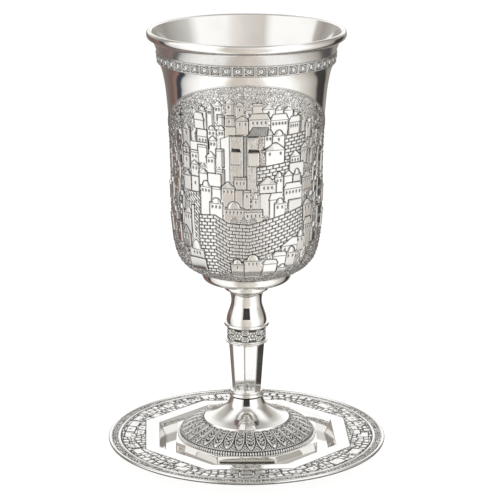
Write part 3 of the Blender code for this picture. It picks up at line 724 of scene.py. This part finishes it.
def feed(tree, node, inputs):
    """Give each input, by its name or number, a value or another node's output."""
    for label, value in inputs.items():
        if isinstance(value, bpy.types.NodeSocket):
            tree.links.new(value, node.inputs[label])
        else:
            node.inputs[label].default_value = value


def add_node(tree, kind, inputs, **settings):
    """A shader node with its settings and its inputs."""
    node = tree.nodes.new("ShaderNode" + kind)
    for label, value in settings.items():
        setattr(node, label, value)
    feed(tree, node, inputs)
    return node


def add_math(tree, operation, *values, clamp=False):
    """A Math node of one to three values, each a number or an output."""
    return add_node(tree, "Math", dict(enumerate(values)), operation=operation, use_clamp=clamp).outputs[0]


def mix_colors(tree, share, first, second):
    """The first colour, turned into the second by a share."""
    return add_node(tree, "Mix", {"Factor": share, "A": first, "B": second}, data_type="RGBA").outputs["Result"]


def add_noise(tree, scale, detail, roughness=0.6):
    """Noise on the piece's own coordinates, in metres, as a value round 0.5."""
    place = add_node(tree, "TexCoord", {}).outputs["Object"]
    inputs = {"Vector": place, "Scale": scale, "Detail": detail, "Roughness": roughness}
    return add_node(tree, "TexNoise", inputs).outputs["Fac"]


def read_field(tree, label):
    """A field that the mesh carries, as a value."""
    return add_node(tree, "Attribute", {}, attribute_name=label).outputs["Fac"]


def new_group(name, inputs, outputs):
    """An empty node group with named inputs, each with its value, and outputs, and its two end nodes."""
    tree = bpy.data.node_groups.new(name, "ShaderNodeTree")
    for label, value in inputs.items():
        kind = "NodeSocketColor" if isinstance(value, tuple) else "NodeSocketFloat"
        tree.interface.new_socket(label, in_out="INPUT", socket_type=kind).default_value = value
    for label in outputs:
        kind = "NodeSocketColor" if label == "Color" else "NodeSocketFloat"
        tree.interface.new_socket(label, in_out="OUTPUT", socket_type=kind)
    return tree, tree.nodes.new("NodeGroupInput").outputs, tree.nodes.new("NodeGroupOutput")


def make_patina_and_shade_group():
    """Bright metal that goes dark and dull by its tone, which holds patina in its hollows and painted shade: colour,
    roughness and how metallic it is.
    """
    tree, given, end = new_group("patina and painted shade", {
        "Tone": 0.0, "Bright": (0.87, 0.86, 0.84, 1.0), "Dark": (0.035, 0.031, 0.028, 1.0), "Polish": 0.08,
    }, ("Color", "Roughness", "Metallic"))
    patchy = add_math(tree, "MULTIPLY_ADD", add_noise(tree, 900.0, 3.0), 0.9, 0.55)
    tone = add_math(tree, "MULTIPLY", given["Tone"], patchy, clamp=True)
    smudge = add_math(tree, "SUBTRACT", add_noise(tree, 60.0, 2.0), 0.5, clamp=True)
    tone = add_math(tree, "ADD", tone, add_math(tree, "MULTIPLY", smudge, 0.22), clamp=True)
    feed(tree, end, {
        "Color": mix_colors(tree, tone, given["Bright"], given["Dark"]),
        "Roughness": add_math(tree, "ADD", given["Polish"], add_math(tree, "MULTIPLY", tone, 0.5)),
        "Metallic": add_math(tree, "SUBTRACT", 1.0, add_math(tree, "MULTIPLY", tone, 0.45)),
    })
    return tree


def make_stipple_group():
    """The height of a punched ground: small cells of noise, scaled by how coarse the grain is at each point."""
    tree, given, end = new_group("punched ground", {"Grain": 0.0, "Scale": 2600.0}, ("Height",))
    dents = add_noise(tree, given["Scale"], 2.0, 0.7)
    feed(tree, end, {"Height": add_math(tree, "MULTIPLY", dents, given["Grain"])})
    return tree


PATINA_AND_SHADE = make_patina_and_shade_group()
STIPPLE = make_stipple_group()


def new_material(name):
    """A material with its node tree and its one shader."""
    material = bpy.data.materials.new(name)
    material.use_nodes = True
    return material, material.node_tree, material.node_tree.nodes["Principled BSDF"]


def make_silver(name, polish, grain_depth, satin=0.0):
    """Silvered metal, by its fields: darkened by the tone, as patina and painted shade, punched by the grain, and
    satin on the inside.
    """
    material, tree, shader = new_material(name)
    patina_and_shade = add_node(tree, "Group", {"Tone": read_field(tree, "tone"), "Polish": polish}, node_tree=PATINA_AND_SHADE).outputs
    metallic = patina_and_shade["Metallic"]
    if satin:
        metallic = add_math(tree, "SUBTRACT", metallic, add_math(tree, "MULTIPLY", read_field(tree, "inside"), satin))
    ground = add_node(tree, "Group", {"Grain": read_field(tree, "grain")}, node_tree=STIPPLE).outputs["Height"]
    bump = add_node(tree, "Bump", {"Strength": 1.0, "Distance": grain_depth * MM, "Height": ground})
    feed(tree, shader, {"Base Color": patina_and_shade["Color"], "Roughness": patina_and_shade["Roughness"], "Metallic": metallic,
                        "Normal": bump.outputs["Normal"]})
    return material


# -------- the bowl

def make_bowl():
    """The polished shell, the band of squares, and the town in relief, front and back."""
    profile = np.vstack([
        smooth_curve(CUP_INSIDE, 1.2),
        oval(LIP_CENTRE, LIP_OUT, CUP_TOP - LIP_CENTRE[1], 125.0, -95.0, 17),
        smooth_curve(UNDER_LIP, 0.6),
        straight(BAND_TOP, BAND_FOOT, 1.0),
        smooth_curve(BOWL_WALL, 0.5),
        straight((21.0, 91.5), (0.01, 91.5), 4.0),
    ])
    angle = columns(256)
    shell = closed_shell("bowl_shell", turned(profile, angle))
    height = profile[:, 1]
    outside = np.arange(len(profile)) > np.argmax(height)
    # painted shade: the outside under the lip roll, from 198.6 to 204.7 mm, gets a darker tone
    set_field(shell, "tone", np.repeat(0.17 * (outside & (height > 198.6) & (height < 204.7)), len(angle)))
    set_field(shell, "inside", np.repeat(1.0 * ~outside, len(angle)))
    add_piece(shell, make_silver("polished bowl silver", 0.07, 0.02, satin=0.16), "bowl")

    antiqued = make_silver("antiqued town silver", 0.10, 0.16)
    fine = smooth_curve(BOWL_WALL, 0.01)
    field = fine[(fine[:, 1] < 190.2) & (fine[:, 0] > 24.2)]
    for name, far, turn, across, rows in TOWN_SHEETS:
        picked = pick(field, rows)
        share = np.linspace(0.0, 1.0, across)
        degrees = np.sort(SEAM + (far - SEAM) * (0.8 * share + 0.2 * share**3))
        relief = town_relief(degrees, picked[:, 1], turn == 0.0)
        add_piece(slab_on(name, picked, degrees + turn, relief, ring=False), antiqued, "bowl")
    add_piece(make_band(), make_silver("antiqued band silver", 0.09, 0.05), "bowl")


def make_band():
    """Framed squares round the cup, each with a round boss in a sunk ring."""
    profile = straight(BAND_TOP, BAND_FOOT, 0.19)
    angle = columns(SQUARES * 20)
    pitch = 2.0 * math.pi * BAND_TOP[0] / SQUARES
    relief = Relief(angle, profile[:, 1], 42.0, 5)
    x = place_in(angle + BAND_TURN, SQUARES) * pitch
    y = relief.y - (BAND_TOP[1] + BAND_FOOT[1]) / 2.0
    half = (BAND_TOP[1] - BAND_FOOT[1]) / 2.0
    to_side, to_rail, out = np.abs(x) - pitch / 2, np.abs(y) - half, np.hypot(x, y)
    relief.blend(1.0, 0.42, np.clip(0.50 - 0.30 * relief.noise, 0.0, 0.9), 0.6)
    frame_at = meet(to_side + 0.72, to_rail + 0.82)
    for values in (
            (-frame_at, 0.66, 0.12),
            (np.abs(frame_at) - 0.16, 0.12, 1.0),
            (np.abs(to_side) - 0.13, 0.30, 0.95, None, 0.9),
            (np.abs(out - 1.58) - 0.14, 0.55, 0.05, 0.1),
            (np.abs(out - 1.28) - 0.17, 0.10, 1.0),
            (out - 1.12, 0.35 + 0.50 * swell(out / 1.25), 0.10, 0.1),
            (np.hypot(x, y - 0.42) - 0.26, None, 0.95, None, 0.9),
            (np.abs(to_rail + 0.42) - 0.16, 0.80, 0.06, 0.1),
            (np.abs(to_rail + 0.16) - 0.10, 0.10, 0.85)):
        relief.press(*values)
    relief.darken_hollows(2, 0.30, 0.6, ring=True)
    return slab_on("band_of_squares", profile, angle, relief, rear_rows=3)


# -------- the stem

def make_stem():
    """Calyx, collar, vase, two rings with a frieze between them, the eight-sided shaft and the anklet."""
    corner_top, shaft_top, corner_foot, shaft_foot = SHAFT
    frieze_radius, frieze_top, frieze_foot = FRIEZE
    profile = np.vstack([
        straight((0.01, 91.1), (20.4, 91.1), 4.0),
        smooth_curve(CALYX, 0.35),
        smooth_curve(VASE, 0.30),
        smooth_curve(RING_ONE, 0.16),
        straight((frieze_radius, frieze_top + 0.4), (frieze_radius, frieze_foot - 0.2), 0.2),
        smooth_curve(RING_TWO, 0.16),
        straight((8.2, shaft_top + 0.4), (6.95, shaft_foot - 0.1), 0.4),
        oval(ANKLET[:2], *ANKLET[2:], 80.0, -70.0, 9),
        ANKLET_CUFF,
        straight((7.3, STEM_FOOT), (0.01, STEM_FOOT), 2.0),
    ])
    angle = columns(240, SHAFT_TURN)
    radius, height = profile[:, :1], profile[:, 1:]
    in_shaft = (height < shaft_top + 0.35) & (height > shaft_foot - 0.15)
    share = unit((shaft_top - height) / (shaft_top - shaft_foot))
    flat = (corner_top + (corner_foot - corner_top) * share) * math.cos(math.pi / 8)
    sides = octagon(flat, angle, SHAFT_TURN + 22.5, 110.0)
    on_frieze = (height < frieze_top + 0.5) & (height > frieze_foot - 0.3) & (np.abs(radius - frieze_radius) < 0.01)
    raised, dark = frieze_ornament(angle, height - (frieze_top + frieze_foot) / 2.0)
    radius = np.where(in_shaft, sides, radius) + np.where(on_frieze, raised, 0.0)
    mesh = closed_shell("stem_turned", round_axis(radius, angle, height), 40.0)
    # painted reflection: dark lines painted along the shaft's corners, within 2 degrees of each
    painted_dark_corners = np.abs(place_in(angle - SHAFT_TURN, 8, 0.5)) * 45.0 < 2.0
    set_field(mesh, "tone", np.where(on_frieze, dark, 0.45 * in_shaft * painted_dark_corners))
    add_piece(mesh, make_silver("polished stem silver", 0.05, 0.03), "stem")


def frieze_ornament(degrees, y):
    """Rosettes joined by curling leaves, bright on a dark ground: height and tone."""
    x = place_in(degrees, 8, 0.1) * 45.0 * 0.1606
    out = np.hypot(x, y)
    petals = 2.1 + 0.35 * np.cos(6.0 * np.arctan2(y, x))
    rosette = unit((petals - out) / 0.3) * (0.55 + 0.45 * np.cos(np.clip(out * 3.2, 0.0, 9.0)))
    curl = np.hypot(np.abs(x) - 3.0, np.abs(y) - 1.6)
    leaf = np.maximum(unit(0.5 - (np.abs(curl - 0.95) - 0.27) / 0.25), unit((0.45 - curl) / 0.2))
    rail = unit(0.5 - (3.15 - np.abs(y)) / 0.2)
    raised = np.maximum(np.maximum(rosette, leaf), rail)
    return 0.42 * raised - 0.12, unit(0.95 - 1.5 * raised)


# -------- the foot

def make_foot():
    """The flared neck, the dome with its leaves, and the eight-sided base, hollow below."""
    angle = columns(480)
    profile = np.vstack([
        straight((0.01, 27.2), (7.3, 27.2), 2.0),
        smooth_curve(FLARE, 0.4),
        FLARE_EDGE,
        smooth_curve(DOME, 0.9) - (0.25, 0.25),
        straight((33.7, FOOT_TOP), (34.0, FOOT_TOP), 0.3),
    ])
    side = soft_line(((33.9, FOOT_TOP), (FOOT_FLAT, FOOT_TOP), (FOOT_FLAT, FOOT_SOLE), (32.2, FOOT_SOLE)), 0.22, 0.8)
    base = round_axis(octagon(side[:, :1], angle, 0.0), angle, side[:, 1:])
    hollow = turned(soft_line(FOOT_CAVITY, 0.3, 1.5)[:-1], angle)
    shell = closed_shell("foot_shell", np.concatenate([turned(profile, angle), base, hollow]))
    add_piece(shell, make_silver("polished foot silver", 0.05, 0.02), "foot")
    add_piece(make_leaves(), make_silver("antiqued leaf silver", 0.10, 0.05), "foot")


def make_leaves():
    """A ring of long pointed leaves on a punched ground, hatching between their tips, and a row of beads below."""
    profile = pick(smooth_curve(DOME, 0.005), 82)
    angle = columns(LEAVES * 32)
    relief = Relief(angle, profile[:, 1], 30.0, 9)
    width = profile[:, :1] * 0.0175 * 360.0 / LEAVES  # 0.0175 radians to a degree
    u = np.abs(place_in(angle - LEAF_TURN, LEAVES, 0.5)) * width
    down = run_length(profile)[:, None]
    total = down[-1, 0]
    v = down / total
    hatch = np.sin((np.abs(u - width / 2.0) * 1.1 + down) * 4.6)
    relief.blend(1.0, 0.05 + 0.16 * hatch + 0.06 * relief.noise, unit(0.44 - 0.62 * hatch - 0.15 * relief.noise), 0.4)
    tip = unit(1.0 - unit((v - 0.42) / 0.38) ** 1.7) ** 0.7
    leaf = u - (width / 2.0 - 0.24) * tip * unit((v - 0.02) / 0.08) ** 0.4
    relief.press(meet(leaf - 0.42, v - 0.82), -0.30, 1.0, 0.1)
    ridge = swell((leaf + 0.32) / 0.34)
    relief.press(leaf, 0.20 + 0.40 * ridge, unit(0.55 - 0.8 * ridge), 0.0)
    inner = leaf + 0.62
    worm = relief.noise + 0.9 * np.sin(down * 3.0 + 2.4 * u)
    relief.press(inner, 0.30 + 0.17 * worm, unit(0.52 - 0.75 * worm), 0.3)
    relief.press(np.abs(inner) - 0.10, None, 0.95, share=0.7)
    spot = np.hypot(u / 0.55, (v - 0.74) * total / 1.1) - 1.0
    relief.press(meet(spot * 0.5, leaf + 0.1), 0.55, 0.0, 0.0)
    relief.press((np.abs(v - 0.920) - 0.075) * total, -0.30, 1.0, 0.1)
    bead = swell(np.hypot(place_in(angle, BEADS) * 2.0 * math.sqrt(1.9), (v - 0.925) / 0.060))
    relief.blend(unit(bead * 3.0), -0.10 + 0.62 * bead, 0.0, 0.0)
    relief.press((np.abs(v - 0.835) - 0.010) * total, 0.22, 0.15, 0.1)
    relief.darken_hollows(2, 0.40, 0.7, ring=True)
    relief.press(down - 0.25, -0.10, 0.85)
    return slab_on("foot_leaves", profile, angle, relief, rear_rows=8, depth=0.45)


# -------- the plate

def make_plate():
    """The polished sheet with its eight-sided ledge and well, and the ring of relief round it."""
    angle = columns(720, PLATE_TURN)
    behind_ledge, under_ledge = PLATE_GROUND - 0.2, PLATE_GROUND - SHEET
    eight = np.vstack([
        straight((0.01, WELL_FLOOR), (WELL_FLOOR_FLAT - 1.5, WELL_FLOOR), 4.0),
        soft_line(((WELL_FLOOR_FLAT - 1.2, WELL_FLOOR), (WELL_FLOOR_FLAT, WELL_FLOOR), (WELL_MOUTH_FLAT, LEDGE_TOP),
                   (LEDGE_FLAT, LEDGE_TOP), (LEDGE_FLAT, behind_ledge), (LEDGE_FLAT + 0.5, behind_ledge)), 0.28, 0.8),
    ])
    radius = eight[:, :1]
    share = unit(radius / 20.0)  # round in the middle, eight-sided further out
    inner = radius * (1 - share) + octagon(radius, angle, PLATE_TURN) * share
    rim = np.vstack([
        straight((54.2, behind_ledge), (66.0, behind_ledge), 3.0),
        smooth_curve(PLATE_RIM, 0.15),
        smooth_curve(RIM_UNDERSIDE, 1.5)[1:],
    ])
    slope = (WELL_MOUTH_FLAT - WELL_FLOOR_FLAT) / (LEDGE_TOP - WELL_FLOOR)
    pan_foot = WELL_FLOOR_FLAT + SHEET - slope * WELL_FLOOR
    under = soft_line(((LEDGE_FLAT, under_ledge), (pan_foot + slope * under_ledge, under_ledge),
                       (pan_foot, 0.0), (pan_foot - 1.5, 0.0)), 0.3, 0.8)
    points = np.concatenate([
        round_axis(inner, angle, eight[:, 1:]),
        turned(rim, angle),
        round_axis(octagon(under[:, :1], angle, PLATE_TURN), angle, under[:, 1:]),
        turned(straight((pan_foot - 4.0, 0.0), (0.01, 0.0), 4.0), angle),
    ])
    shell = closed_shell("plate_shell", points)
    # painted shade: the lower outside of the rim's roll gets a dark tone
    painted_shade_under_rim = (points[:, 0, 2] < 6.95) & (np.hypot(points[:, 0, 0], points[:, 0, 1]) > 66.9)
    set_field(shell, "tone", np.repeat(0.8 * painted_shade_under_rim, len(angle)))
    add_piece(shell, make_silver("polished plate silver", 0.05, 0.02), "plate")
    add_piece(make_plate_relief(), make_silver("antiqued plate silver", 0.10, 0.10), "plate")


def add_plate_houses(relief, outer, depth, width, key, share=1.0):
    """A ring of small houses, roofs outwards, of uneven widths and heights."""
    count = int(360.0 * PLATE_ACROSS / width)
    for number in range(key, key + count):
        if scatter(number, 7) > share:
            continue
        middle = (360.0 * (number - key + 0.5) / count - 180.0) * PLATE_ACROSS
        half = width * (0.36 + 0.12 * scatter(number, 1))
        top = outer + 1.2 * (scatter(number, 2) - 0.5)
        kind = "bpbdbfbh"[int(8 * scatter(number, 4))]
        windows = int(0.46 * width * scatter(number, 6))
        add_house(relief, number, kind, middle - half, middle + half, top - depth, top - 1.0, top, windows, rise=0.50)


def make_plate_relief():
    """Rings of small houses on a punched ground, a polished ring, and a woven band out to the rim."""
    radius = np.linspace(49.0, 66.5, 70)
    profile = np.stack([radius, np.full(len(radius), PLATE_GROUND)], -1)
    angle = np.linspace(-180.0, 180.0, 1300, endpoint=False)
    relief = Relief(angle * PLATE_ACROSS, radius, 1e6, 21)
    relief.height += 0.02
    relief.stipple(0.62, 0.10)
    for ring in PLATE_RINGS:
        add_plate_houses(relief, *ring)
    relief.tone = unit(relief.tone + 0.05 - 0.12 * relief.noise)
    relief.darken_hollows(2, 0.16, 0.9, ring=True)
    r = relief.y
    from_ring = np.abs(r - POLISHED_RING)
    relief.press(from_ring - 0.62, 0.10 + 0.5 * swell(from_ring / 0.7), 0.0, 0.0)
    relief.press(np.abs(r - POLISHED_RING + 0.80) - 0.20, -0.05, 0.9)
    slant = relief.x * 1.15 * 0.7
    weave = np.sin(3.3 * (r + slant)) * np.sin(3.3 * (r - slant)) + 0.5 * relief.noise
    relief.press(np.abs(r - WOVEN_BAND) - 1.50, 0.05 + 0.12 * weave, unit(0.60 - 0.70 * weave), 0.9)
    past_ledge = r - octagon(LEDGE_FLAT, angle, PLATE_TURN)
    relief.press(past_ledge - 0.35, -0.05, 0.8, 0.0)
    relief.press(past_ledge + 0.25, -0.35, 0.8, 0.0)
    relief.press(66.38 - r, -0.35, 0.6)
    return slab_on("plate_relief", profile, angle, relief, rear_rows=2, depth=0.6)


# -------- studio

CAMERA_AT = (1.66, -1036.48, 383.48)
CAMERA_PITCH = 15.25
LENS = 160.4
FLOOR_RADIUS = 300.0
FLAG_NEAR = (144.0, -360.0, 224.0)  # a dark flag laid flat before the cup: half its width, depth and height
FLAG_FAR = (280.0, -700.0, 218.0)
WHITE = (1.0, 1.0, 1.0, 1.0)
CEILING = (0.40, 0.385, 0.37, 1.0)

# Colours round the studio, each after its angle from the front: soft boxes left and right, a dim gap behind the
# camera, brown and dark furniture further back. The first list is seen below the horizon, the second above it.
LOW_SURROUND = (
    (-180, 0.3, 0.26, 0.23), (-147, 0.17, 0.14, 0.125), (-132, 0.155, 0.105, 0.09), (-121, 0.25, 0.165, 0.14),
    (-117, 0.045, 0.05, 0.062), (-109, 0.045, 0.05, 0.062), (-105, 0.5, 0.5, 0.49), (-95, 0.74, 0.73, 0.72),
    (-80, 0.93, 0.92, 0.91), (-66, 1.0, 1.0, 1.0), (-38, 1.0, 1.0, 1.0), (-31, 0.78, 0.75, 0.71),
    (-26, 0.63, 0.585, 0.53), (-20, 0.58, 0.53, 0.475), (-4, 0.61, 0.565, 0.51), (4, 0.7, 0.65, 0.6),
    (14, 0.68, 0.64, 0.59), (24, 0.75, 0.72, 0.68), (29, 0.86, 0.84, 0.81), (33, 1.0, 1.0, 1.0), (66, 1.0, 1.0, 1.0),
    (78, 0.88, 0.87, 0.85), (88, 0.68, 0.65, 0.62), (100, 0.56, 0.53, 0.49), (117, 0.34, 0.31, 0.28),
    (123, 0.05, 0.047, 0.044), (143, 0.04, 0.038, 0.036), (151, 0.27, 0.25, 0.22), (180, 0.3, 0.26, 0.23),
)
HIGH_SURROUND = (
    (-180, 1.0, 1.0, 1.0), (-160, 0.95, 0.95, 0.94), (-150, 0.55, 0.54, 0.51), (-130, 0.35, 0.33, 0.31),
    (-115, 0.28, 0.25, 0.23), (-103, 0.43, 0.4, 0.37), (-98, 0.95, 0.95, 0.94), (-87, 1.0, 1.0, 1.0),
    (-37, 1.0, 1.0, 1.0), (-31, 0.86, 0.85, 0.83), (-24, 0.57, 0.54, 0.5),
    (-12, 0.63, 0.59, 0.55), (0, 0.68, 0.64, 0.6), (12, 0.76, 0.73, 0.69), (20, 0.84, 0.82, 0.79), (28, 1.0, 1.0, 1.0),
    (68, 1.0, 1.0, 1.0), (76, 0.8, 0.79, 0.78), (84, 0.56, 0.55, 0.53), (96, 0.46, 0.45, 0.43),
    (110, 0.36, 0.35, 0.32), (126, 0.26, 0.24, 0.22), (140, 0.33, 0.31, 0.29), (152, 0.58, 0.57, 0.54),
    (162, 0.95, 0.95, 0.95), (180, 1.0, 1.0, 1.0),
)


def surround_ramp(tree, stops, turn):
    """A ramp of colours round the studio, from the share of a turn."""
    node = add_node(tree, "ValToRGB", {"Fac": turn})
    elements = node.color_ramp.elements
    for number, (degrees, *color) in enumerate(stops):
        position = (degrees + 180.0) / 360.0
        element = elements[number] if number < 2 else elements.new(position)
        element.position = position
        element.color = (*color, 1.0)
    return node.outputs["Color"]


def soft_step(tree, value, low, high):
    """0 below the low limit, 1 above the high one, and a smooth step between."""
    inputs = {"Value": value, "From Min": low, "From Max": high}
    return add_node(tree, "MapRange", inputs, interpolation_type="SMOOTHSTEP").outputs["Result"]


def make_surroundings():
    """Soft studio light from all sides, plain white where the camera looks straight at it."""
    world = bpy.data.worlds.new("studio")
    bpy.context.scene.world = world
    world.use_nodes = True
    tree = world.node_tree
    tree.nodes.clear()
    way = add_node(tree, "SeparateXYZ", {0: add_node(tree, "TexCoord", {}).outputs["Generated"]}).outputs
    turn = add_math(tree, "ARCTAN2", way["X"], add_math(tree, "MULTIPLY", way["Y"], -1.0))
    turn = add_math(tree, "MULTIPLY_ADD", turn, 0.5 / math.pi, 0.5)
    low, high = (surround_ramp(tree, stops, turn) for stops in (LOW_SURROUND, HIGH_SURROUND))
    walls = mix_colors(tree, soft_step(tree, way["Z"], -0.05, 0.15), low, high)
    aside = soft_step(tree, add_math(tree, "ABSOLUTE", way["X"]), 0.22, 0.46)
    ceiling = mix_colors(tree, aside, CEILING, WHITE)
    color = mix_colors(tree, soft_step(tree, way["Z"], 0.66, 0.86), walls, ceiling)
    around = add_node(tree, "Background", {"Color": color, "Strength": 1.2}).outputs[0]
    backdrop = add_node(tree, "Background", {"Color": WHITE, "Strength": 1.05}).outputs[0]
    straight_on = add_node(tree, "LightPath", {}).outputs["Is Camera Ray"]
    choose = add_node(tree, "MixShader", {"Fac": straight_on, 1: around, 2: backdrop}).outputs[0]
    add_node(tree, "OutputWorld", {"Surface": choose})


def add_prop(mesh, name, inputs, unseen):
    """A plain thing of the studio, left out by some kinds of rays."""
    material, tree, shader = new_material(name)
    feed(tree, shader, inputs)
    prop = add_object(mesh, material)
    for rays in unseen:
        setattr(prop, "visible_" + rays, False)


def make_floor():
    """A round white table top under the plate."""
    top = [(radius, -0.02) for radius in (0.01, 60.0, 120.0, 200.0, FLOOR_RADIUS)]
    profile = np.array([*top, (FLOOR_RADIUS, -6.0), (0.01, -6.0)])
    add_prop(closed_shell("table_top", turned(profile, columns(96))), "white table", {
        "Base Color": (0.3, 0.3, 0.3, 1.0), "Roughness": 0.6, "Emission Color": WHITE, "Emission Strength": 0.84,
    }, ("glossy",))


def make_flag():
    """A dark flag level with the lip, seen only in the metal, for the dark line down it."""
    corners = np.array([FLAG_FAR, FLAG_NEAR, FLAG_NEAR, FLAG_FAR]) * ((-1, 1, 1), (-1, 1, 1), (1, 1, 1), (1, 1, 1))
    add_prop(fill_mesh("dark_flag", corners, [np.arange(4)[None]]), "black cloth", {
        "Base Color": (0.075, 0.073, 0.072, 1.0), "Roughness": 0.9, "Specular IOR Level": 0.0,
    }, ("camera", "shadow", "diffuse"))


def make_camera():
    """The viewing angle: a long lens a metre away, looking down a little."""
    camera = bpy.data.objects.new("camera", bpy.data.cameras.new("camera"))
    bpy.context.scene.collection.objects.link(camera)
    camera.location = [value * MM for value in CAMERA_AT]
    camera.rotation_euler = (math.radians(90.0 - CAMERA_PITCH), 0.0, 0.0)
    camera.data.lens = LENS
    camera.data.sensor_width = 36.0
    camera.data.clip_end = 20.0
    bpy.context.scene.camera = camera


bpy.context.scene.view_settings.view_transform = "Standard"
make_surroundings()
make_floor()
make_flag()
make_camera()
make_bowl()
make_stem()
make_foot()
make_plate()
